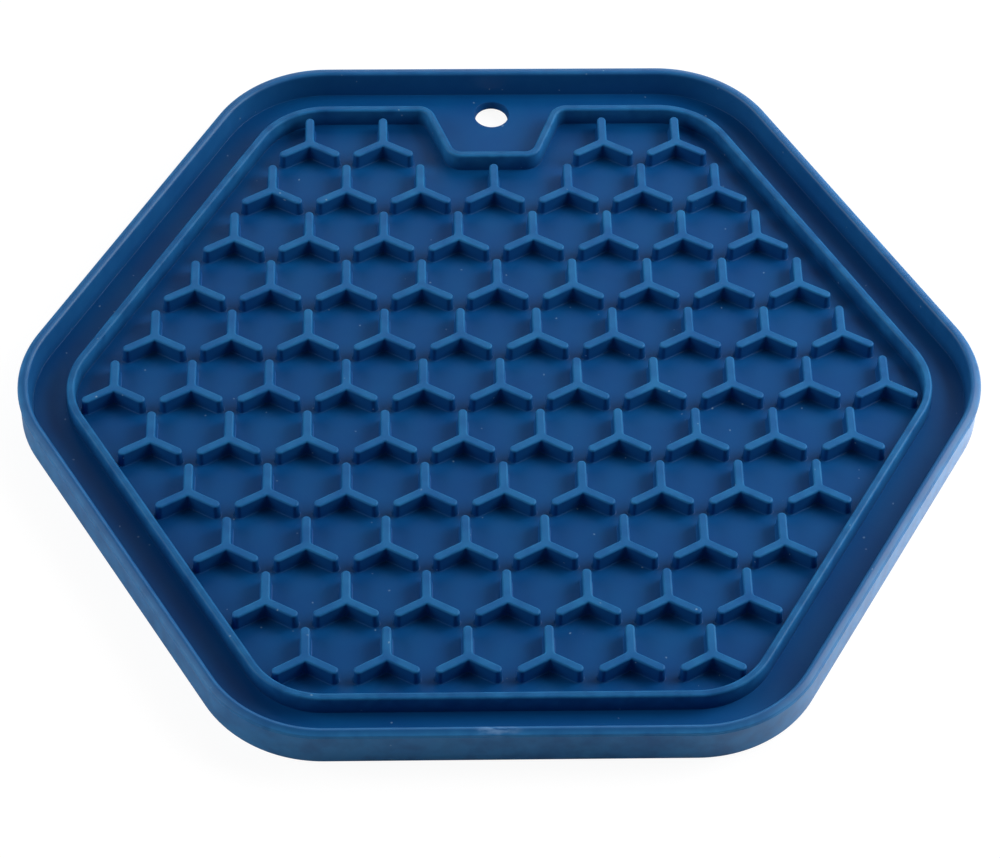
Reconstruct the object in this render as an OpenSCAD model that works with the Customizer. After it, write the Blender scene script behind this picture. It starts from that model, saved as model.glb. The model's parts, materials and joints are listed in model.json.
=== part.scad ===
// Lick mat: one soft silicone moulding, a hexagonal tray with rounded corners.
// A tall rim runs round the edge, then a channel, then a low ridge round the lick field.
// Eleven rows of three-armed fins stand in the field. The ridge steps in at the back
// to leave room for a round hanging hole.
// The mat lies flat: +Z is up, +Y is the side with the hole, the table is at z = 0.

/* [Mat] */
// Distance across two opposite flat sides, over the rim
mat_across = 225; // [200:1:250]
// Radius of the six outer corners
mat_corner_r = 34; // [29:1:38]
// Thickness of the floor sheet
sheet_t = 2.5; // [2:0.1:3.5]
// Gap between the table and the underside of the sheet
sheet_lift = 1.2; // [0.8:0.1:1.8]

/* [Rim] */
// Height of the rim from the table to its top
rim_h = 11.3; // [9.5:0.1:14]
// Width of the rim at its top
rim_top_w = 2.75; // [2:0.05:3.5]
// How far the outer wall leans out between its foot and its top
rim_lean = 0.7; // [0.3:0.1:1.2]
// How far the inner wall slopes in between the top and the floor
rim_slope = 0.8; // [0.3:0.1:1.2]
// Chamfer on the two top edges of the rim
rim_edge = 0.5; // [0.2:0.05:0.8]

/* [Ridge] */
// Width of the channel floor between the rim and the ridge
channel_w = 8.75; // [7:0.25:11]
// Height of the ridge above the floor
ridge_h = 5.3; // [4:0.1:7]
// Width of the ridge at the floor
ridge_foot_w = 2.5; // [2:0.1:3.5]
// How far each side of the ridge slopes in towards its top
ridge_draft = 0.2; // [0.1:0.05:0.4]
// Chamfer on the two top edges of the ridge
ridge_edge = 0.35; // [0.15:0.05:0.5]

/* [Notch] */
// Width of the notch where it leaves the back of the ridge, at the ridge's middle
notch_mouth_w = 35.5; // [30:0.5:39]
// Width of the notch at its bottom, at the ridge's middle
notch_floor_w = 22.5; // [18:0.5:26]
// Radius of the ridge's middle line round the notch corners
notch_r = 4; // [3:0.25:5]

/* [Hanging hole] */
// Diameter of the hole
hole_d = 9.5; // [7:0.25:11]
// Distance from the hole's edge to the foot of the rim
hole_edge_gap = 2.8; // [2:0.1:4]

/* [Fins] */
// Width of a fin's arms
fin_w = 2.3; // [1.8:0.1:2.8]
// Height of the fins above the floor
fin_h = 4.7; // [3.5:0.1:6]
// How far an arm stops short of the point where three arms would meet
fin_tip_gap = 2.35; // [1.9:0.05:3]
// Gap between the outermost arm tips and the foot of the ridge
fin_margin = 1.9; // [1.2:0.1:3]

/* [Suction cups] */
// Diameter of a cup at its lip
cup_d = 24; // [18:1:30]
// Width of the lip that rests on the table
cup_lip_w = 1.2; // [0.8:0.1:2]
// How far a cup's wall slopes in between its lip and the sheet
cup_slope = 2; // [1:0.25:3]
// Thickness left over the hollow at the middle of a cup
cup_web_t = 0.3; // [0.2:0.05:0.5]
// Distance from the mat's middle to the middle of the six outer cups
cup_ring_r = 66; // [58:1:72]

/* [Hidden] */

$fn = 96;

// Colours of the same blue silicone, as it looks on low, middle and high faces
floor_blue = [0.11, 0.29, 0.53];
wall_blue = [0.16, 0.38, 0.63];
fin_blue = [0.22, 0.44, 0.67];

// A hexagon's side directions are 60 degrees apart, with flat sides at back and front
sides = 6;
side_turn = 360 / sides;

// Straight steps in each round corner, and in the half circle at an arm's tip
corner_steps = 12;
tip_steps = 8;

// Length that a cut runs past a face
overrun = 1;

floor_z = sheet_lift + sheet_t;
rim_foot_w = rim_top_w + rim_slope;
sheet_apothem = mat_across / 2 - rim_foot_w;
sheet_corner_r = mat_corner_r - rim_foot_w;
ridge_mid = sheet_apothem - channel_w - ridge_foot_w / 2;
ridge_mid_r = sheet_corner_r - (sheet_apothem - ridge_mid);
ridge_inner = ridge_mid - ridge_foot_w / 2;

// Fins stand on a triangular grid, five rows each side of the middle row.
// The grid fills the field: the back row's tips end at the margin from the ridge.
half_rows = 5;
rows = 2 * half_rows + 1;
fin_pitch = (ridge_inner - fin_margin + fin_tip_gap) / (half_rows * sqrt(3) / 2 + 1 / sqrt(3));
fin_reach = fin_pitch / sqrt(3) - fin_tip_gap;
row_step = fin_pitch * sqrt(3) / 2;

// The notch's floor clears the tips of the second row by the same margin
notch_y = (half_rows - 1) * row_step + fin_reach + fin_margin + ridge_foot_w / 2;
hole_y = sheet_apothem - hole_edge_gap - hole_d / 2;

function heading(v) = atan2(v[1], v[0]);
function turn_at(a, p, b) = atan2(cross(p - a, b - p), (p - a) * (b - p));
function wrap(list, i) = list[(i + len(list)) % len(list)];
function along(a) = [cos(a), sin(a)];

// Corner points of a hexagon, given the distance from its middle to its sides
function hexagon(apothem) =
    [for (k = [0:sides - 1]) apothem / cos(side_turn / 2) * along(k * side_turn)];

// The same radius for every corner of the hexagon
function all_corners(r) = [for (k = [1:sides]) r];

// A closed path with round corners, as a list of [point, direction out of the path].
// The path runs anticlockwise. At each corner the direction swings through the turn.
function rounded(path, radii) = [
    for (i = [0:len(path) - 1])
        let (
            before = wrap(path, i - 1),
            arrives = heading(path[i] - before),
            turn = turn_at(before, path[i], wrap(path, i + 1)),
            side = sign(turn),
            start = path[i] - radii[i] * tan(abs(turn) / 2) * along(arrives),
            middle = start - side * radii[i] * along(arrives - 90)
        )
        for (s = [0:corner_steps])
            let (out = along(arrives - 90 + s * turn / corner_steps))
            [middle + side * radii[i] * out, out]
];

// A wall of constant section round such a path, as one closed skin.
// In the section, x points out of the path and y is up.
module wall_along(path, radii, section) {
    ring = rounded(path, radii);
    m = len(section);
    n = len(ring);
    polyhedron(
        points = [for (v = ring, q = section) [each v[0] + q[0] * v[1], q[1]]],
        faces = [for (j = [0:n - 1], k = [0:m - 1])
            let (j2 = (j + 1) % n, k2 = (k + 1) % m)
            [j * m + k, j * m + k2, j2 * m + k2, j2 * m + k]]
    );
}

module base_sheet() {
    color(floor_blue)
        translate([0, 0, sheet_lift])
            difference() {
                linear_extrude(sheet_t)
                    polygon([for (v = rounded(hexagon(sheet_apothem), all_corners(sheet_corner_r))) v[0]]);
                translate([0, hole_y, -overrun]) cylinder(h = sheet_t + 2 * overrun, d = hole_d);
            }
}

// Rim section: x = 0 is the outermost line, at the top of the outer wall
rim_section = [
    [-rim_lean, 0],
    [0, rim_h - rim_edge],
    [-rim_edge, rim_h],
    [rim_edge - rim_top_w, rim_h],
    [-rim_top_w, rim_h - rim_edge],
    [-rim_foot_w, floor_z],
    [-rim_foot_w, 0]
];

module outer_rim() {
    color(wall_blue)
        wall_along(hexagon(mat_across / 2), all_corners(mat_corner_r), rim_section);
}

// Ridge section: x = 0 is the middle of the ridge
ridge_half_foot = ridge_foot_w / 2;
ridge_half_top = ridge_half_foot - ridge_draft;
ridge_top_z = floor_z + ridge_h;
ridge_section = [
    [ridge_half_foot, floor_z],
    [ridge_half_top, ridge_top_z - ridge_edge],
    [ridge_half_top - ridge_edge, ridge_top_z],
    [ridge_edge - ridge_half_top, ridge_top_z],
    [-ridge_half_top, ridge_top_z - ridge_edge],
    [-ridge_half_foot, floor_z]
];

// The ridge follows the hexagon, with four more corners for the notch at the back
module inner_ridge() {
    corners = hexagon(ridge_mid);
    path = [
        corners[0], corners[1],
        [notch_mouth_w / 2, ridge_mid], [notch_floor_w / 2, notch_y],
        [-notch_floor_w / 2, notch_y], [-notch_mouth_w / 2, ridge_mid],
        corners[2], corners[3], corners[4], corners[5]
    ];
    big = ridge_mid_r;
    radii = [big, big, notch_r, notch_r, notch_r, notch_r, big, big, big, big];
    color(wall_blue) wall_along(path, radii, ridge_section);
}

// Outline of one fin: three arms, each with a half round tip.
// The first arm points to the back, the others 120 degrees to each side.
function fin_outline() = [
    for (arm = [90:120:330]) each concat(
        [for (s = [0:tip_steps]) let (a = arm - 90 + s * 180 / tip_steps)
            (fin_reach - fin_w / 2) * along(arm) + fin_w / 2 * along(a)],
        [fin_w / sqrt(3) * along(arm + 60)]
    )
];

// Part of a row of fins: rows are counted from the back and fins from the left.
// Rows grow by one fin towards the middle row. The two fins in the middle of the
// first row, which the notch displaces, are left out.
module fins(row, first, last) {
    count = rows - abs(row - 1 - half_rows);
    color(fin_blue)
        for (i = [first:last]) {
            x = (i - (count + 1) / 2) * fin_pitch;
            if (row > 1 || abs(x) > notch_mouth_w / 2)
                translate([x, (half_rows + 1 - row) * row_step, floor_z])
                    linear_extrude(fin_h) polygon(fin_outline());
        }
}

// Shallow suction cups under the sheet, one in the middle and six round it
module suction_cups() {
    color(floor_blue)
        for (spot = concat([[0, 0]], [for (k = [0:sides - 1])
                cup_ring_r * along(k * side_turn)]))
            translate(spot)
                rotate_extrude()
                    polygon([
                        [0, sheet_lift],
                        [cup_d / 2 - cup_slope, sheet_lift],
                        [cup_d / 2, 0],
                        [cup_d / 2 - cup_lip_w, 0],
                        [0, sheet_lift - cup_web_t]
                    ]);
}

base_sheet();
outer_rim();
inner_ridge();
fins(1, 1, 6);  // fin_row_01
fins(2, 1, 4);  // fin_row_02_left
fins(2, 5, 7);  // fin_row_02_right
fins(3, 1, 4);  // fin_row_03_left
fins(3, 5, 8);  // fin_row_03_right
fins(4, 1, 5);  // fin_row_04_left
fins(4, 6, 9);  // fin_row_04_right
fins(5, 1, 5);  // fin_row_05_left
fins(5, 6, 10);  // fin_row_05_right
fins(6, 1, 4);  // fin_row_06_left
fins(6, 5, 7);  // fin_row_06_middle
fins(6, 8, 11);  // fin_row_06_right
fins(7, 1, 5);  // fin_row_07_left
fins(7, 6, 10);  // fin_row_07_right
fins(8, 1, 5);  // fin_row_08_left
fins(8, 6, 9);  // fin_row_08_right
fins(9, 1, 4);  // fin_row_09_left
fins(9, 5, 8);  // fin_row_09_right
fins(10, 1, 4);  // fin_row_10_left
fins(10, 5, 7);  // fin_row_10_right
fins(11, 1, 3);  // fin_row_11_left
fins(11, 4, 6);  // fin_row_11_right
suction_cups();
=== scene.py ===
# A lick mat: one soft blue silicone moulding, a hexagonal tray with a tall rim, a channel, a low
# ridge and eleven rows of three-armed fins. It lies flat, with its hanging hole at the back.
import json
import math

import bmesh
import bpy
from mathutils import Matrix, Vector


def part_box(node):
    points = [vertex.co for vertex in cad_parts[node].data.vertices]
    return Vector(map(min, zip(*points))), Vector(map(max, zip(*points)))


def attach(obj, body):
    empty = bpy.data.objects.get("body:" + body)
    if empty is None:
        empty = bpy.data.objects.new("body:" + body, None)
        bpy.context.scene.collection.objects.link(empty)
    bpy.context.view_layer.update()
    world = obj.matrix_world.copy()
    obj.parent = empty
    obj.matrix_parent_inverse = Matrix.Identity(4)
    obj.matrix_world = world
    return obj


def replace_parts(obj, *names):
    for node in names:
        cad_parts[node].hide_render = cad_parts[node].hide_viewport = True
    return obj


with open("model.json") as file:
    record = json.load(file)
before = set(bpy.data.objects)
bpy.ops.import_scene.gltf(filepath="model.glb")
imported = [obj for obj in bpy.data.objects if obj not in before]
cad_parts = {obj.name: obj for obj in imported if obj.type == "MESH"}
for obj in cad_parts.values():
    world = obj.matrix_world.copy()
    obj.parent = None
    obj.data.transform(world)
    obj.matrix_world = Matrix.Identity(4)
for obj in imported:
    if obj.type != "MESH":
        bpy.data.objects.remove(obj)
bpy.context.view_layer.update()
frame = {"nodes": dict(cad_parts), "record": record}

# The view: a long lens looks down over the front edge of the mat, at about 50 degrees.
# The camera stands about a metre away, a little to the left of the middle.


def placed(name, data):
    """A new object in the scene, at the origin."""
    made = bpy.data.objects.new(name, data)
    bpy.context.scene.collection.objects.link(made)
    return made


camera = placed("camera", bpy.data.cameras.new("camera"))
camera.data.lens = 140.5
camera.data.sensor_width = 36
camera.location = (-0.0303, -0.6504, 0.7823)
camera.rotation_euler = [math.radians(degrees) for degrees in (39.404, -1.062, -1.390)]
bpy.context.scene.camera = camera

# Floor sheet: a flat sheet of soft silicone, with the hanging hole through it near the back edge.
# It is pressed in one shot with the walls and the fins, all of one blue silicone. Each piece gets its
# own slightly lighter or darker tone of that blue, as painted light and shade.
# The hole narrows a little downwards and its edges are rounded, as the mould's core pin leaves them.
sheet_low, sheet_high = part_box("base_sheet")
floor_z = sheet_high.z
sheet_t = sheet_high.z - sheet_low.z
sheet_apothem = sheet_high.y
sheet_corner_r = 0.03045
sheet_tuck = 0.0003
hole = next(mount for mount in frame["record"]["mounts"] if mount["name"] == "hanging_hole")
hole_r = hole["dims"]["r_mm"] / 1000
hole_edge_r = 0.0002
hole_draft = 0.0003
hole_steps = 96
weld = 0.00001
# The floor's tone is a darker copy of the mat's blue: painted shade
floor_shaded_tone = (0.0015, 0.0685, 0.234)

# The finish that all of the mat shares. A scale is how many patches, specks or grains fit in a metre
# The pale marks on edges and tops come in patches: partly wear, partly painted highlight
wear_and_highlight_scale = 210
wear_and_highlight_range = (0.5, 1.3)
cloud_scale = 80
cloud_tint = (1.5, 1.1, 0.5)
noise_low = 0.3
noise_high = 0.7
lint_scale = 250
lint_core_r = 0.02
lint_r = 0.085
lint_free_share = 0.62
lint_bend = 0.0006
lint_bend_scale = 900
lint_tone = (0.2, 0.34, 0.5, 1)
lint_dullness = 0.3
skin_scale = 420
skin_dullness = 0.12
grain_scale = 2600
grain_depth = 0.00004


def node(tree, kind, inputs=None, **settings):
    """A new node. Each input is a plain value, or the output socket that feeds it."""
    made = tree.nodes.new(kind)
    for key, value in settings.items():
        setattr(made, key, value)
    for key, value in (inputs or {}).items():
        if isinstance(value, bpy.types.NodeSocket):
            tree.links.new(value, made.inputs[key])
        else:
            made.inputs[key].default_value = value
    return made


def calculated(tree, operation, *values):
    """What one Math node makes of its values."""
    return node(tree, "ShaderNodeMath", dict(enumerate(values)), operation=operation).outputs[0]


def mixed(tree, share, first, second):
    """Two colours mixed, with the given share of the second one."""
    return node(tree, "ShaderNodeMix", {
        "Factor": share, "A": first, "B": second}, data_type="RGBA").outputs["Result"]


def new_tree(name, kind, inputs, outputs):
    """A node group with its named inputs and outputs. Returns the group and its inputs."""
    tree = bpy.data.node_groups.new(name, kind)
    for label, socket in inputs.items():
        tree.interface.new_socket(label, in_out="INPUT", socket_type="NodeSocket" + socket)
    for label, socket in outputs.items():
        tree.interface.new_socket(label, in_out="OUTPUT", socket_type="NodeSocket" + socket)
    return tree, node(tree, "NodeGroupInput").outputs


def moulded_surface():
    """The look of pressed silicone: marked edges and tops made paler, partly wear and partly painted
    highlight; cloudy colour, specks of lint and a fine grain.
    """
    tree, given = new_tree(
        "moulded_surface", "ShaderNodeTree",
        {"Tone": "Color", "Edge Tone": "Color", "Edge": "Float", "Cloud": "Float",
         "Lint": "Float", "Roughness": "Float", "Grain": "Float"},
        {"Color": "Color", "Roughness": "Float", "Height": "Float"},
    )
    place = node(tree, "ShaderNodeTexCoord").outputs["Object"]

    def noise(scale, detail):
        return node(tree, "ShaderNodeTexNoise", {
            "Vector": place, "Scale": scale, "Detail": detail}).outputs

    def patches(scale, detail, low, high):
        return node(tree, "ShaderNodeMapRange", {
            "Value": noise(scale, detail)["Fac"], "From Min": noise_low, "From Max": noise_high,
            "To Min": low, "To Max": high}).outputs[0]

    # Paler where marked, in patches: partly wear, partly painted highlight on edges and tops that face
    # the light
    wear_and_highlight_share = calculated(tree, "MULTIPLY", given["Edge"], patches(wear_and_highlight_scale, 2, *wear_and_highlight_range))
    edged = mixed(tree, wear_and_highlight_share, given["Tone"], given["Edge Tone"])
    swing = calculated(tree, "MULTIPLY", patches(cloud_scale, 3, -1, 1), given["Cloud"])
    shift = node(tree, "ShaderNodeVectorMath", {
        "Vector": cloud_tint, "Scale": swing}, operation="SCALE")
    clouded = node(tree, "ShaderNodeVectorMath", {
        0: shift.outputs[0], 1: edged, 2: edged}, operation="MULTIPLY_ADD")
    bent = node(tree, "ShaderNodeVectorMath", {
        0: noise(lint_bend_scale, 1)["Color"], 1: [lint_bend] * 3, 2: place},
        operation="MULTIPLY_ADD")
    specks = node(tree, "ShaderNodeTexVoronoi", {
        "Vector": bent.outputs[0], "Scale": lint_scale}).outputs
    near = node(tree, "ShaderNodeMapRange", {
        "Value": specks["Distance"], "From Min": lint_core_r, "From Max": lint_r,
        "To Min": 1, "To Max": 0})
    chance = node(tree, "ShaderNodeSeparateColor", {"Color": specks["Color"]})
    few = calculated(tree, "GREATER_THAN", chance.outputs["Red"], lint_free_share)
    kept = calculated(tree, "MULTIPLY", near.outputs[0], few)
    lint = calculated(tree, "MULTIPLY", kept, given["Lint"])
    skin = noise(skin_scale, 2)["Fac"]
    level = calculated(tree, "MULTIPLY_ADD", noise(grain_scale, 2)["Fac"], given["Grain"], skin)
    dull = calculated(tree, "MULTIPLY_ADD", skin, skin_dullness, given["Roughness"])
    node(tree, "NodeGroupOutput", {
        "Color": mixed(tree, lint, clouded.outputs[0], lint_tone),
        "Roughness": calculated(tree, "MULTIPLY_ADD", lint, lint_dullness, dull),
        "Height": calculated(tree, "ADD", level, lint)})
    return tree


surface_look = moulded_surface()


def silicone(name, tone, cloud, lint, roughness, grain, wear_and_highlight_tone=None, shine=0.15):
    """A blue silicone finish. The edge tone is for pieces with edges that are marked as pale, partly
    from wear and partly as a painted highlight.
    """
    material = bpy.data.materials.new(name)
    material.use_nodes = True
    tree = material.node_tree
    shader = tree.nodes["Principled BSDF"]
    shader.inputs["IOR"].default_value = 1.43
    shader.inputs["Specular IOR Level"].default_value = shine
    edge = node(tree, "ShaderNodeAttribute", attribute_name="edge")
    look = node(tree, "ShaderNodeGroup", {
        "Tone": (*tone, 1), "Edge Tone": (*(wear_and_highlight_tone or tone), 1), "Edge": edge.outputs["Fac"],
        "Cloud": cloud, "Lint": lint, "Roughness": roughness, "Grain": grain},
        node_tree=surface_look).outputs
    bump = node(tree, "ShaderNodeBump", {
        "Height": look["Height"], "Strength": 0.5, "Distance": grain_depth})
    tree.links.new(look["Color"], shader.inputs["Base Color"])
    tree.links.new(look["Roughness"], shader.inputs["Roughness"])
    tree.links.new(bump.outputs["Normal"], shader.inputs["Normal"])
    return material


def hexagon(apothem):
    """Corners of a hexagon with flat sides at the back and the front, anticlockwise."""
    across = apothem / math.cos(math.pi / 6)
    return [(across * math.cos(turn * math.pi / 3), across * math.sin(turn * math.pi / 3))
            for turn in range(6)]


def arc(middle, radius, start, end, steps=5):
    """Points on a round stretch of an outline, between two directions in degrees."""
    turns = [math.radians(start + (end - start) * i / steps) for i in range(steps + 1)]
    return [(middle[0] + radius * math.cos(turn), middle[1] + radius * math.sin(turn))
            for turn in turns]


def drawn_line(name, points, closed=True, **marks):
    """A line of edges for a tree to work on. Each mark is one number for every point."""
    mesh = bpy.data.meshes.new(name)
    edges = [(i, (i + 1) % len(points)) for i in range(len(points) if closed else len(points) - 1)]
    mesh.from_pydata([(x, y, 0) for x, y in points], edges, [])
    for mark, values in marks.items():
        attribute = mesh.attributes.new(mark, "FLOAT", "POINT")
        attribute.data.foreach_set("value", values)
    return placed(name, mesh)


def work_with(worked, tree, values):
    """Puts a tree on an object, with its inputs set by their sockets' identifiers."""
    modifier = worked.modifiers.new(tree.name, "NODES")
    modifier.node_group = tree
    for item in tree.interface.items_tree:
        if item.name in values:
            modifier[item.identifier] = values[item.name]


def finished(name, worked, *spent):
    """The mesh that an object's modifiers give, as a piece of the mat. What made it is removed."""
    depsgraph = bpy.context.evaluated_depsgraph_get()
    mesh = bpy.data.meshes.new_from_object(
        worked.evaluated_get(depsgraph), preserve_all_data_layers=True, depsgraph=depsgraph)
    for used in (worked, *spent):
        bpy.data.objects.remove(used)
    mesh.name = name
    piece = placed(name, mesh)
    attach(piece, "root")
    return piece


def rounded_line(tree, given):
    """The closed line that comes in, with its corners rounded to the radius marked on each."""
    radius = node(tree, "GeometryNodeInputNamedAttribute", {"Name": "corner_radius"})
    corners = node(tree, "GeometryNodeMeshToCurve", {"Mesh": given["Geometry"]})
    return node(tree, "GeometryNodeFilletCurve", {
        "Curve": corners.outputs["Curve"], "Count": given["Corner Steps"],
        "Radius": radius.outputs["Attribute"]}, mode="POLY").outputs["Curve"]


def swept(tree, line, section):
    """A smooth surface: a section drawn as edges, swept along a line that lies flat."""
    upright = node(tree, "GeometryNodeSetCurveNormal", {"Curve": line}, mode="Z_UP")
    drawn = node(tree, "GeometryNodeObjectInfo", {"Object": section})
    profile = node(tree, "GeometryNodeMeshToCurve", {"Mesh": drawn.outputs["Geometry"]})
    return node(tree, "GeometryNodeCurveToMesh", {
        "Curve": upright.outputs["Curve"], "Profile Curve": profile.outputs["Curve"]}).outputs["Mesh"]


def joined(tree, *parts):
    """Several lines or meshes as one."""
    whole = node(tree, "GeometryNodeJoinGeometry")
    for part in parts:
        tree.links.new(part, whole.inputs["Geometry"])
    return whole.outputs["Geometry"]


def sent_out(tree, mesh, finish):
    """The tree with its end: the mesh gets its finish and goes out."""
    out = node(tree, "GeometryNodeSetMaterial", {"Geometry": mesh, "Material": finish})
    node(tree, "NodeGroupOutput", {"Geometry": out.outputs["Geometry"]})
    return tree


def pressed_sheet():
    """A sheet cut to a rounded line, with one round hole through it. It rises from its underside."""
    tree, given = new_tree(
        "pressed_sheet", "GeometryNodeTree",
        {"Geometry": "Geometry", "Corner Steps": "Int", "Thickness": "Float", "Underside": "Vector",
         "Hole Steps": "Int", "Hole Radius": "Float", "Top Radius": "Float",
         "Bottom Radius": "Float", "Hole Place": "Vector", "Side": "Object", "Lining": "Object",
         "Weld": "Float", "Finish": "Material"},
        {"Geometry": "Geometry"},
    )
    outline = rounded_line(tree, given)

    def circle(radius):
        drawn = node(tree, "GeometryNodeCurvePrimitiveCircle", {
            "Resolution": given["Hole Steps"], "Radius": given[radius]})
        return node(tree, "GeometryNodeTransform", {
            "Geometry": drawn.outputs["Curve"], "Translation": given["Hole Place"]}).outputs[0]

    def cut_face(radius):
        face = node(tree, "GeometryNodeFillCurve", {
            "Curve": joined(tree, outline, circle(radius))}, mode="TRIANGLES")
        return node(tree, "GeometryNodeSetShadeSmooth", {
            "Geometry": face.outputs["Mesh"], "Shade Smooth": False}).outputs["Geometry"]

    under = node(tree, "GeometryNodeFlipFaces", {"Mesh": cut_face("Bottom Radius")})
    rise = node(tree, "ShaderNodeCombineXYZ", {"Z": given["Thickness"]})
    over = node(tree, "GeometryNodeTransform", {
        "Geometry": cut_face("Top Radius"), "Translation": rise.outputs[0]})
    whole = joined(
        tree, under.outputs["Mesh"], over.outputs["Geometry"], swept(tree, outline, given["Side"]),
        swept(tree, circle("Hole Radius"), given["Lining"]))
    closed = node(tree, "GeometryNodeMergeByDistance", {
        "Geometry": whole, "Distance": given["Weld"]})
    lifted = node(tree, "GeometryNodeTransform", {
        "Geometry": closed.outputs["Geometry"], "Translation": given["Underside"]})
    return sent_out(tree, lifted.outputs["Geometry"], given["Finish"])


sheet_line = drawn_line(
    "sheet_line", hexagon(sheet_apothem + sheet_tuck), corner_radius=[sheet_corner_r] * 6)
sheet_side = drawn_line("sheet_side", [(0, -sheet_t), (0, 0)], closed=False)
lining = arc((hole_edge_r - hole_draft, hole_edge_r), hole_edge_r, 270, 180)
lining += arc((hole_edge_r, sheet_t - hole_edge_r), hole_edge_r, 180, 90)
hole_lining = drawn_line("hole_lining", [(x, -z) for x, z in lining], closed=False)
work_with(sheet_line, pressed_sheet(), {
    "Corner Steps": 16, "Thickness": sheet_t, "Underside": (0, 0, sheet_low.z),
    "Hole Steps": hole_steps, "Hole Radius": hole_r, "Top Radius": hole_r + hole_edge_r,
    "Bottom Radius": hole_r + hole_edge_r - hole_draft, "Hole Place": (*hole["pos_m"][:2], 0),
    "Side": sheet_side, "Lining": hole_lining, "Weld": weld,
    "Finish": silicone(
        "floor_silicone", floor_shaded_tone, cloud=0.08, lint=0.8, roughness=0.40, grain=0.5)})
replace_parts(finished("floor_sheet", sheet_line, sheet_side, hole_lining), "base_sheet")

# Rim: the tall silicone wall round the edge, which keeps food and water on the mat and stands on
# the table. Its top falls away outwards from a rounded inner edge. The two halves of the mould meet
# at the outer edge and leave a fine raised line there. The front has been rubbed pale in one place.
rim_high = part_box("outer_rim")[1]
rim_corner_r = 0.034
rim_top_w = 0.00292
rim_foot_w = rim_high.y - sheet_apothem
rim_lean = 0.0004
rim_inner_edge_r = 0.001
rim_outer_edge_r = 0.0006
rim_fall = 24
rim_base_r = 0.0003
flash_r = 0.00016
foot_round = 0.00015
foot_sink = 0.00002
foot_skirt = 0.0002
skin_depth = 0.0001
# The rim's tone is a lighter copy of the mat's blue, painted light. Its edge tone paints its marked
# edges and outer wall pale: partly wear, partly painted highlight, and on the outer wall a painted
# reflection of the table.
rim_lit_tone = (0.005, 0.080, 0.246)
rim_wear_and_highlight_tone = (0.022, 0.179, 0.432)
scuff_place = (-0.0035, -rim_high.y + rim_top_w / 2, rim_high.z)
scuff_reach = (0.0065, 0.0022, 0.0022)
scuff_core_share = 0.3
scuff_streak_scale = 1.8
scuff_streak_low = 0.4
scuff_streak_high = 0.6
scuff_strength = 0.9
scuff_tone = (0.12, 0.26, 0.50, 1)


def section_line(name, stretches):
    """A section, clockwise, from stretches of points. Each stretch has a mark from 0 to 1 that says how
    pale it is: partly wear, and partly a painted highlight or reflection where it faces the light."""
    points = [(x, -z) for stretch, pale in stretches for x, z in stretch]
    return drawn_line(name, points, edge=[pale for stretch, pale in stretches for _ in stretch])


def moulded_wall():
    """A wall of one section, swept round a rounded line."""
    tree, given = new_tree(
        "moulded_wall", "GeometryNodeTree",
        {"Geometry": "Geometry", "Corner Steps": "Int", "Section": "Object", "Finish": "Material"},
        {"Geometry": "Geometry"},
    )
    return sent_out(tree, swept(tree, rounded_line(tree, given), given["Section"]), given["Finish"])


def rim_section():
    """It goes up the inner wall, over the top, past the mould's line and down the outer wall.
    Directions are in degrees: 180 faces the channel, 90 faces up and 0 faces outwards."""
    inner = (-rim_top_w + rim_inner_edge_r, rim_high.z - rim_inner_edge_r)
    facing = 90 - rim_fall
    out, up = math.cos(math.radians(facing)), math.sin(math.radians(facing))
    outer_x = -flash_r - rim_outer_edge_r
    outer_z = inner[1] + ((inner[0] - outer_x) * out + rim_inner_edge_r - rim_outer_edge_r) / up
    # The inner edge, the outer edge, the mould's line and the outer wall are marked pale: partly wear,
    # partly painted highlight, and down the outer wall a painted reflection of the table, palest at the
    # foot.
    return section_line("rim_section", [
        (arc((rim_base_r - rim_foot_w, rim_base_r), rim_base_r, 270, 180), 0),
        ([(-rim_foot_w, floor_z - skin_depth)], 0),
        ([(-rim_foot_w - foot_round - foot_skirt, floor_z - skin_depth)], 0),
        (arc((-rim_foot_w - foot_round, floor_z + foot_round - foot_sink), foot_round, 270, 360), 0),
        (arc(inner, rim_inner_edge_r, 174, 150, steps=2), 0.2),
        (arc(inner, rim_inner_edge_r, 140, 105, steps=3), 0.45),
        (arc(inner, rim_inner_edge_r, 95, facing, steps=3), 0.2),
        (arc((outer_x, outer_z), rim_outer_edge_r, facing, 40, steps=3), 0.75),
        (arc((outer_x, outer_z), rim_outer_edge_r, 35, 0, steps=3), 1),
        (arc((-flash_r, outer_z - flash_r), flash_r, 80, -80), 1),
        ([(-2 * flash_r, outer_z - 3 * flash_r)], 0.75),
        (arc((-rim_lean - rim_base_r, rim_base_r), rim_base_r, 0, -90), 1),
    ])


def scuffed(material):
    """Adds the dull pale streaks where the front of the rim has been rubbed."""
    tree = material.node_tree
    base = tree.nodes["Principled BSDF"].inputs["Base Color"]
    patch = node(tree, "ShaderNodeMapping", {
        "Vector": node(tree, "ShaderNodeTexCoord").outputs["Object"],
        "Location": scuff_place, "Scale": scuff_reach}, vector_type="TEXTURE").outputs[0]
    away = node(tree, "ShaderNodeVectorMath", {0: patch}, operation="LENGTH")
    inside = node(tree, "ShaderNodeMapRange", {
        "Value": away.outputs["Value"], "From Min": scuff_core_share, "From Max": 1,
        "To Min": 1, "To Max": 0})
    rubs = node(tree, "ShaderNodeTexNoise", {
        "Vector": patch, "Scale": scuff_streak_scale, "Detail": 4})
    streaks = node(tree, "ShaderNodeMapRange", {
        "Value": rubs.outputs["Fac"], "From Min": scuff_streak_low,
        "From Max": scuff_streak_high, "To Max": scuff_strength})
    share = calculated(tree, "MULTIPLY", inside.outputs[0], streaks.outputs[0])
    tree.links.new(mixed(tree, share, base.links[0].from_socket, scuff_tone), base)
    return material


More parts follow.
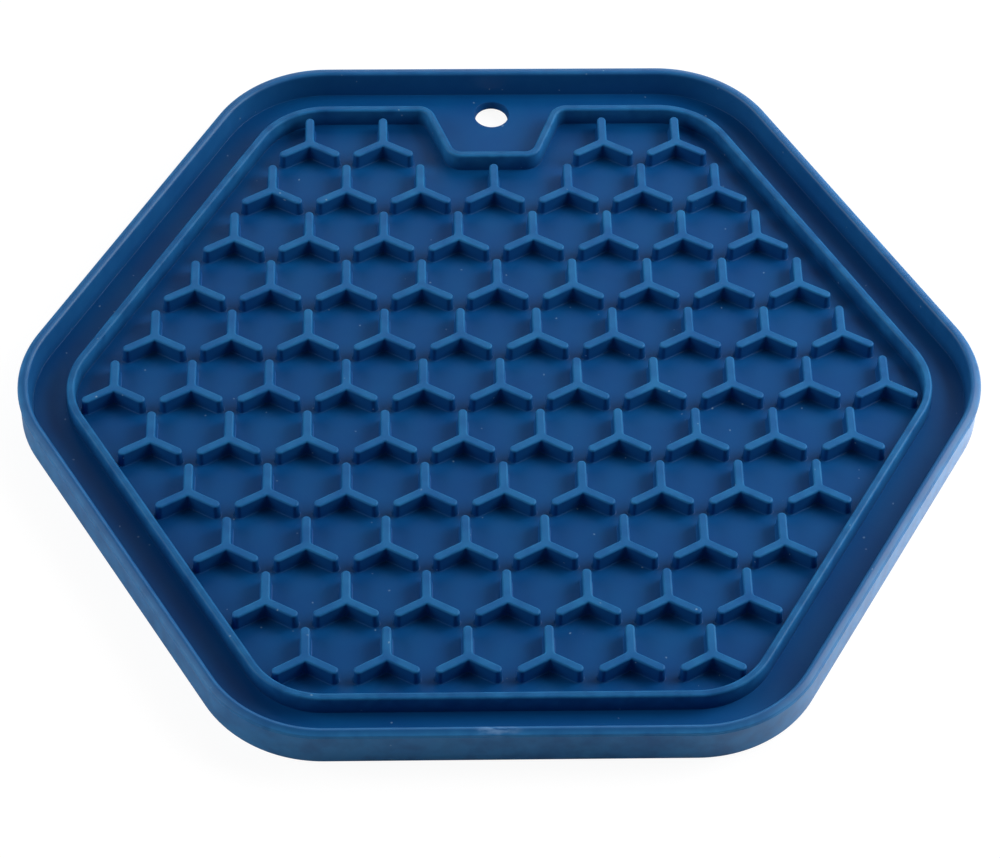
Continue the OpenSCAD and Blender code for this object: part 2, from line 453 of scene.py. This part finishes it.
rim_line = drawn_line("rim_line", hexagon(rim_high.y), corner_radius=[rim_corner_r] * 6)
rim_shape = rim_section()
wall_maker = moulded_wall()
work_with(rim_line, wall_maker, {
    "Corner Steps": 24, "Section": rim_shape, "Finish": scuffed(silicone(
        "rim_silicone", rim_lit_tone, cloud=0.06, lint=0.7, roughness=0.36, grain=0.5,
        wear_and_highlight_tone=rim_wear_and_highlight_tone, shine=0.38))})
rim_line.modifiers.new("even_shading", "WEIGHTED_NORMAL")
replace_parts(finished("rim", rim_line, rim_shape), "outer_rim")

# Ridge: the low silicone wall that fences the field of fins off from the channel. It follows the
# hexagon, and steps in at the back to leave room for the hanging hole. It is moulded on the floor,
# with a little draft and two rounded top edges.
ridge_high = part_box("inner_ridge")[1]
ridge_foot_w = 0.0025
ridge_draft = 0.0002
ridge_edge_r = 0.0007
ridge_mid = ridge_high.y - ridge_foot_w / 2
ridge_corner_r = sheet_corner_r - (sheet_apothem - ridge_mid)
notch_mouth_w = 0.0355
notch_floor_w = 0.0225
notch_corner_r = 0.004
notch_margin = 0.0019
# The ridge's tone is a darker copy of the mat's blue, painted shade. The edge tone paints the marked
# edges and tops of the ridge and the fins pale: partly wear, partly painted highlight.
ridge_shaded_tone = (0.003, 0.055, 0.185)
wear_and_highlight_tone = (0.015, 0.141, 0.355)


def ridge_section():
    """A narrow wall with two rounded top edges and a small round at both feet."""
    half = ridge_foot_w / 2
    top = half - ridge_draft - ridge_edge_r
    edge_z = ridge_high.z - ridge_edge_r
    foot_z = floor_z + foot_round - foot_sink
    skirt = half + foot_round + foot_skirt
    # Its top edges and top are marked pale: partly wear, partly painted highlight.
    return section_line("ridge_section", [
        ([(-skirt, floor_z - skin_depth)], 0),
        (arc((-half - foot_round, foot_z), foot_round, 270, 360), 0),
        (arc((-top, edge_z), ridge_edge_r, 178, 105), 1),
        (arc((-top, edge_z), ridge_edge_r, 97, 90, steps=1), 0.6),
        (arc((top, edge_z), ridge_edge_r, 90, 83, steps=1), 0.6),
        (arc((top, edge_z), ridge_edge_r, 75, 2), 1),
        (arc((half + foot_round, foot_z), foot_round, 180, 270), 0),
        ([(skirt, floor_z - skin_depth)], 0),
    ])


# The fins' grid sets how deep the notch is: its floor clears the tips of the second row
rows = 11
middle_row = 6
back_tips_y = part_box("fin_row_01")[1].y
front_tips_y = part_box("fin_row_11_left")[1].y
row_step = (back_tips_y - front_tips_y) / (rows - 1)
fin_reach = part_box("fin_row_06_left")[1].y
notch_y = (middle_row - 2) * row_step + fin_reach + notch_margin + ridge_foot_w / 2
corner = hexagon(ridge_mid)
ridge_line = drawn_line("ridge_line", [
    corner[0], corner[1],
    (notch_mouth_w / 2, ridge_mid), (notch_floor_w / 2, notch_y),
    (-notch_floor_w / 2, notch_y), (-notch_mouth_w / 2, ridge_mid),
    corner[2], corner[3], corner[4], corner[5],
], corner_radius=[ridge_corner_r] * 2 + [notch_corner_r] * 4 + [ridge_corner_r] * 4)
ridge_shape = ridge_section()
work_with(ridge_line, wall_maker, {
    "Corner Steps": 20, "Section": ridge_shape, "Finish": silicone(
        "ridge_silicone", ridge_shaded_tone, cloud=0.1, lint=0.8, roughness=0.36, grain=0.5,
        wear_and_highlight_tone=wear_and_highlight_tone)})
ridge_line.modifiers.new("even_shading", "WEIGHTED_NORMAL")
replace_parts(finished("ridge", ridge_line, ridge_shape), "inner_ridge")

# Fins: 89 small upright three-armed fins of silicone that hold the food, in eleven staggered rows.
# They stand on a triangular grid. The notch takes the place of the two in the middle of the
# back row. Each has round tips, rounded top edges and a small round at its foot.
fin_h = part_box("fin_row_06_middle")[1].z - floor_z
fin_w = 0.0023
fin_draft = 0.0001
fin_edge_r = 0.0006
# How pale the fin is marked, from the side up over the top edge to the top: partly wear, partly painted
# highlight on the edges and tops.
fin_wear_and_highlight = (0, 0.7, 1, 1, 0.6)
fin_flare = 0.00015
fin_foot_r = 0.0004
fin_crotch_r = 0.0008
fin_pitch = row_step * 2 / math.sqrt(3)
# The fins' tone is a lighter copy of the mat's blue, painted light
fin_lit_tone = (0.0056, 0.075, 0.246)


def shaped(name, mesh):
    """A smooth object from a mesh that is all built."""
    for face in mesh.faces:
        face.smooth = True
    data = bpy.data.meshes.new(name)
    mesh.to_mesh(data)
    mesh.free()
    return placed(name, data)


def walled(mesh, rings):
    """Faces from each ring of points to the next, facing outwards. Rings run anticlockwise."""
    for lower, upper in zip(rings, rings[1:]):
        for i, point in enumerate(lower):
            mesh.faces.new((lower[i - 1], point, upper[i], upper[i - 1]))


def fin_plan(inset):
    """Outline of a fin from above, drawn in all round by the inset."""
    plan = []
    for arm in (90, 210, 330):
        along = Vector((math.cos(math.radians(arm)), math.sin(math.radians(arm))))
        between = Vector((math.cos(math.radians(arm + 60)), math.sin(math.radians(arm + 60))))
        tip = along * (fin_reach - fin_w / 2)
        crotch = between * (fin_w / 2 + fin_crotch_r) / math.sin(math.pi / 3)
        plan += arc(tip, fin_w / 2 - inset, arm - 90, arm + 90, steps=8)
        plan += arc(crotch, fin_crotch_r + inset, arm + 270, arm + 210, steps=4)
    return plan


def fin_shape():
    """One fin on the floor, with its middle at the origin, from rings at rising levels."""
    levels = [(-skin_depth, -fin_flare - fin_foot_r - foot_skirt, 0)]
    for out, up in arc((fin_foot_r, fin_foot_r), fin_foot_r, 270, 180, steps=3):
        levels.append((up - foot_sink, -fin_flare - out, 0))
    top_edge = arc((fin_edge_r, fin_h - fin_edge_r), fin_edge_r, 180, 90, len(fin_wear_and_highlight) - 1)
    for (out, up), pale in zip(top_edge, fin_wear_and_highlight):
        levels.append((up, fin_draft - fin_flare + out, pale))
    mesh = bmesh.new()
    mark = mesh.verts.layers.float.new("edge")
    rings = []
    for up, inset, pale in levels:
        rings.append([mesh.verts.new((x, y, up)) for x, y in fin_plan(inset)])
        for point in rings[-1]:
            point[mark] = pale
    walled(mesh, rings)
    mesh.faces.new(rings[-1])
    mesh.faces.new(reversed(rings[0]))
    return shaped("fin", mesh)


def repeated(tree, spots, shape):
    """A copy of one object on every point of a mesh, made real."""
    copied = node(tree, "GeometryNodeObjectInfo", {"Object": shape})
    copies = node(tree, "GeometryNodeInstanceOnPoints", {
        "Points": spots, "Instance": copied.outputs["Geometry"]})
    return node(tree, "GeometryNodeRealizeInstances", {
        "Geometry": copies.outputs["Instances"]}).outputs["Geometry"]


def fin_row():
    """A straight row of evenly spaced fins, with those that the notch displaces left out."""
    tree, given = new_tree(
        "fin_row", "GeometryNodeTree",
        {"Geometry": "Geometry", "Fin": "Object", "Count": "Int", "Pitch": "Float",
         "Row": "Vector", "Gap": "Float", "Finish": "Material"},
        {"Geometry": "Geometry"},
    )
    step = node(tree, "ShaderNodeCombineXYZ", {"X": given["Pitch"]}).outputs[0]
    spaces = calculated(tree, "SUBTRACT", given["Count"], 1)
    back = node(tree, "ShaderNodeVectorMath", {
        0: step, "Scale": calculated(tree, "MULTIPLY", spaces, -0.5)}, operation="SCALE")
    start = node(tree, "ShaderNodeVectorMath", {0: back.outputs[0], 1: given["Row"]}, operation="ADD")
    spots = node(tree, "GeometryNodeMeshLine", {
        "Count": given["Count"], "Start Location": start.outputs[0], "Offset": step})
    place = node(tree, "ShaderNodeSeparateXYZ", {
        "Vector": node(tree, "GeometryNodeInputPosition").outputs[0]})
    aside = calculated(tree, "ABSOLUTE", place.outputs["X"])
    kept = node(tree, "GeometryNodeDeleteGeometry", {
        "Geometry": spots.outputs["Mesh"],
        "Selection": calculated(tree, "LESS_THAN", aside, given["Gap"])})
    fins = repeated(tree, kept.outputs["Geometry"], given["Fin"])
    return sent_out(tree, fins, given["Finish"])


fin = fin_shape()
fin_finish = silicone(
    "fin_silicone", fin_lit_tone, cloud=0.12, lint=0.9, roughness=0.36, grain=0.6, wear_and_highlight_tone=wear_and_highlight_tone)
row_maker = fin_row()
for row in range(1, rows + 1):
    row_line = placed("row_line", bpy.data.meshes.new("row_line"))
    work_with(row_line, row_maker, {
        "Fin": fin, "Count": rows - abs(row - middle_row), "Pitch": fin_pitch,
        "Row": (0, (middle_row - row) * row_step, floor_z),
        "Gap": notch_mouth_w / 2 if row == 1 else 0.0, "Finish": fin_finish})
    row_line.modifiers.new("even_shading", "WEIGHTED_NORMAL")
    in_row = [name for name in frame["nodes"] if name.startswith(f"fin_row_{row:02d}")]
    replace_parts(finished(f"fins_row_{row:02d}", row_line), *sorted(in_row))
bpy.data.objects.remove(fin)

# Suction cups: seven shallow silicone cups under the floor, one in the middle and six round it, that
# hold the mat to a tiled wall or a floor. They are moulded on, with a thin lip that meets the table.
cups_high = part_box("suction_cups")[1]
cup_d = 0.024
cup_slope = 0.002
cup_lip_w = 0.0012
cup_web_t = 0.0003
cup_lip_r = 0.00015
cup_ring_r = cups_high.x - cup_d / 2
cup_steps = 64
hollow_steps = 8
outer_cups = 6
cup_tone = (0.005, 0.066, 0.230)


def fan(mesh, middle, ring):
    """Faces from one point to the ring round it."""
    for i, point in enumerate(ring):
        mesh.faces.new((middle, ring[i - 1], point))


def cup_shape():
    """One cup with its lip down, in rings: out along the hollow, round the lip and up."""
    mouth_r = cup_d / 2 - cup_lip_w
    hollow_z = cups_high.z - cup_web_t
    half = []
    for i in range(1, hollow_steps + 1):
        share = i / hollow_steps
        half.append((mouth_r * share, hollow_z * (1 - share ** 2)))
    half += arc((cup_d / 2 - cup_lip_r, cup_lip_r), cup_lip_r, -90, 40, steps=4)
    half.append((cup_d / 2 - cup_slope, cups_high.z))
    mesh = bmesh.new()
    turns = [2 * math.pi * i / cup_steps for i in range(cup_steps)]
    rings = [[mesh.verts.new((r * math.cos(turn), r * math.sin(turn), z)) for turn in turns]
             for r, z in half]
    walled(mesh, rings)
    fan(mesh, mesh.verts.new((0, 0, hollow_z)), rings[0][::-1])
    fan(mesh, mesh.verts.new((0, 0, cups_high.z)), rings[-1])
    return shaped("cup", mesh)


def cup_ring():
    """One cup in the middle and a ring of cups round it."""
    tree, given = new_tree(
        "cup_ring", "GeometryNodeTree",
        {"Geometry": "Geometry", "Cup": "Object", "Count": "Int", "Ring Radius": "Float",
         "Finish": "Material"},
        {"Geometry": "Geometry"},
    )
    ring = node(tree, "GeometryNodeMeshCircle", {
        "Vertices": given["Count"], "Radius": given["Ring Radius"]})
    middle = node(tree, "GeometryNodeMeshLine", {"Count": 1})
    spots = joined(tree, ring.outputs["Mesh"], middle.outputs["Mesh"])
    return sent_out(tree, repeated(tree, spots, given["Cup"]), given["Finish"])


cup = cup_shape()
cup_line = placed("cup_line", bpy.data.meshes.new("cup_line"))
work_with(cup_line, cup_ring(), {
    "Cup": cup, "Count": outer_cups, "Ring Radius": cup_ring_r,
    "Finish": silicone("cup_silicone", cup_tone, cloud=0.06, lint=0.3, roughness=0.32, grain=0.3)})
cup_line.modifiers.new("even_shading", "WEIGHTED_NORMAL")
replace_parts(finished("cups", cup_line, cup), "suction_cups")

# Table and light: a white table with no edge in view. One soft lamp stands close by on the right,
# and larger ones stand further off behind on the right, behind and on the left. So the sides that
# face the camera are lit only by what the table throws back and by a faint even light from all round.
table_reach = 2.0
table_drop = 0.00005
table_grey = (0.8, 0.8, 0.8, 1)
shadow_grey = (0.12, 0.12, 0.12, 1)
table_glow = 0.92
# A painted glow, seen only in reflections, makes the table brighter to the right and stands in for the
# near lamp's light there
painted_reflection_start = 0.02
painted_reflection_end = 0.2
painted_reflection_glow = 2.6
room_glow = 0.1


def seen_directly(tree):
    """1 for what the camera sees straight or through something clear, and 0 for other rays."""
    ray = node(tree, "ShaderNodeLightPath").outputs
    return calculated(tree, "MAXIMUM", ray["Is Camera Ray"], ray["Is Transmission Ray"])


def white_table():
    """White to the camera, with the mat's own soft shadow on it. Reflections see a pale grey table lit
    by the lamps, with a painted reflection added: a glow that grows brighter to the right and stands in
    for the near lamp's light there."""
    material = bpy.data.materials.new("table_white")
    material.use_nodes = True
    tree = material.node_tree
    tree.nodes.remove(tree.nodes["Principled BSDF"])
    ray = node(tree, "ShaderNodeLightPath").outputs
    place = node(tree, "ShaderNodeSeparateXYZ", {
        "Vector": node(tree, "ShaderNodeTexCoord").outputs["Object"]})
    # Painted reflection: a glow on the right of the table, for glossy rays only
    painted_lamp_reflection = node(tree, "ShaderNodeMapRange", {
        "Value": place.outputs["X"], "From Min": painted_reflection_start, "From Max": painted_reflection_end,
        "To Min": 0, "To Max": painted_reflection_glow}, interpolation_type="SMOOTHSTEP")
    painted_reflection = node(tree, "ShaderNodeEmission", {
        "Strength": calculated(tree, "MULTIPLY", ray["Is Glossy Ray"], painted_lamp_reflection.outputs[0])})
    matt = node(tree, "ShaderNodeBsdfDiffuse", {"Color": table_grey})
    bounced = node(tree, "ShaderNodeAddShader", {0: matt.outputs[0], 1: painted_reflection.outputs[0]})
    shaded = node(tree, "ShaderNodeBsdfDiffuse", {"Color": shadow_grey})
    glow = node(tree, "ShaderNodeEmission", {"Strength": table_glow})
    lit = node(tree, "ShaderNodeAddShader", {0: shaded.outputs[0], 1: glow.outputs[0]})
    both = node(tree, "ShaderNodeMixShader", {
        0: seen_directly(tree), 1: bounced.outputs[0], 2: lit.outputs[0]})
    tree.links.new(both.outputs[0], tree.nodes["Material Output"].inputs["Surface"])
    return material


def soft_lamp(name, place, power, size):
    """A square soft lamp that faces the middle of the mat."""
    lamp = placed(name, bpy.data.lights.new(name, "AREA"))
    lamp.data.size = size
    lamp.data.energy = power
    lamp.location = place
    lamp.rotation_euler = (-Vector(place)).to_track_quat("-Z", "Y").to_euler()
    lamp.visible_camera = False


table_mesh = bpy.data.meshes.new("table")
table_corners = [(table_reach * x, table_reach * y, 0) for x, y in ((-1, -1), (1, -1), (1, 1), (-1, 1))]
table_mesh.from_pydata(table_corners, [], [(0, 1, 2, 3)])
table_mesh.materials.append(white_table())
table = placed("table", table_mesh)
table.location.z = -table_drop

soft_lamp("lamp_right", (0.548, 0.067, 0.342), power=2.8, size=0.4)
soft_lamp("lamp_right_back", (0.856, 0.514, 0.752), power=7.1, size=0.8)
soft_lamp("lamp_back", (0.0, 1.0, 0.75), power=3.6, size=0.8)
soft_lamp("lamp_left", (-1.083, 0.0, 0.625), power=8.2, size=0.8)

world = bpy.data.worlds.new("studio")
world.use_nodes = True
background = world.node_tree.nodes["Background"]
background.inputs["Color"].default_value = (1, 1, 1, 1)
strength = calculated(world.node_tree, "MAXIMUM", seen_directly(world.node_tree), room_glow)
world.node_tree.links.new(strength, background.inputs["Strength"])
bpy.context.scene.world = world
bpy.context.scene.view_settings.view_transform = "Standard"
